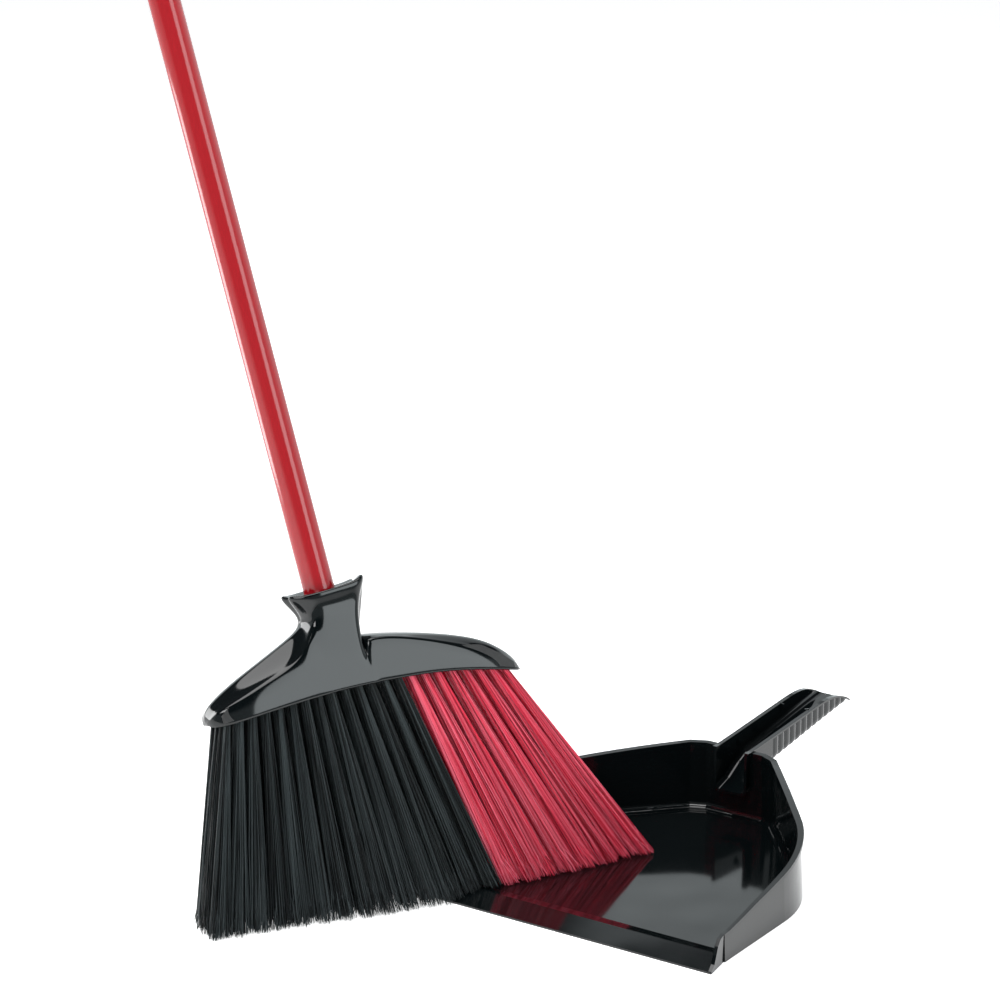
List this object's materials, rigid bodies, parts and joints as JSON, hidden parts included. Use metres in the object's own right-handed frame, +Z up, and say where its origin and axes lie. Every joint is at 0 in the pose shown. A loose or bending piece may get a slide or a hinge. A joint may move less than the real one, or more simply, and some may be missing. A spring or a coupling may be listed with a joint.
{
  "type": "angle broom with clip-on dust pan",
  "caption": "Wide angle broom with a long round handle, black and red bristle tufts and a glossy shroud, standing in a ramped dust pan with an open channel grip.",
  "frame": {"origin": "middle of the dust pan's front lip, on the ground", "axes": "+Z up, +Y from the pan's lip to its grip, +X to the right when looking that way"},
  "size_m": [0.6967, 0.6183, 1.2212],
  "materials": {
    "black_gloss_plastic": "glossy moulded black plastic",
    "block_plastic": "matte moulded plastic",
    "black_bristles": "soft synthetic filaments with split tips",
    "red_bristles": "soft synthetic filaments with split tips",
    "staple_steel": "flat steel wire",
    "red_coated_steel": "smooth glossy red coating over thin steel tube",
    "tip_plastic": "matte moulded plastic",
    "cap_plastic": "glossy moulded black plastic"
  },
  "bodies": {
    "pan": {"dust_pan": "black_gloss_plastic"},
    "broom_head": {"head_shroud": "black_gloss_plastic", "bristle_block": "block_plastic", "black_tufts_row_1": "black_bristles", "black_tufts_row_2": "black_bristles", "black_tufts_row_3": "black_bristles", "black_tufts_row_4": "black_bristles", "red_tufts_row_1": "red_bristles", "red_tufts_row_2": "red_bristles", "red_tufts_row_3": "red_bristles", "red_tufts_row_4": "red_bristles", "tuft_staples_row_1": "staple_steel", "tuft_staples_row_2": "staple_steel", "tuft_staples_row_3": "staple_steel", "tuft_staples_row_4": "staple_steel"},
    "handle": {"handle_tube": "red_coated_steel", "threaded_tip": "tip_plastic", "hang_cap": "cap_plastic"}
  },
  "joints": [
    {"name": "broom_lift", "type": "slide", "parent": "pan", "child": "broom_head", "axis": [0, 0, 1], "range_m": [0, 0.15]},
    {"name": "handle_screw", "type": "hinge", "parent": "broom_head", "child": "handle", "pos_m": [-0.20627, -0.00679, 0.21767], "axis": [-0.3092, 0.008, 0.951], "range_deg": [0, 1710]}
  ]
}
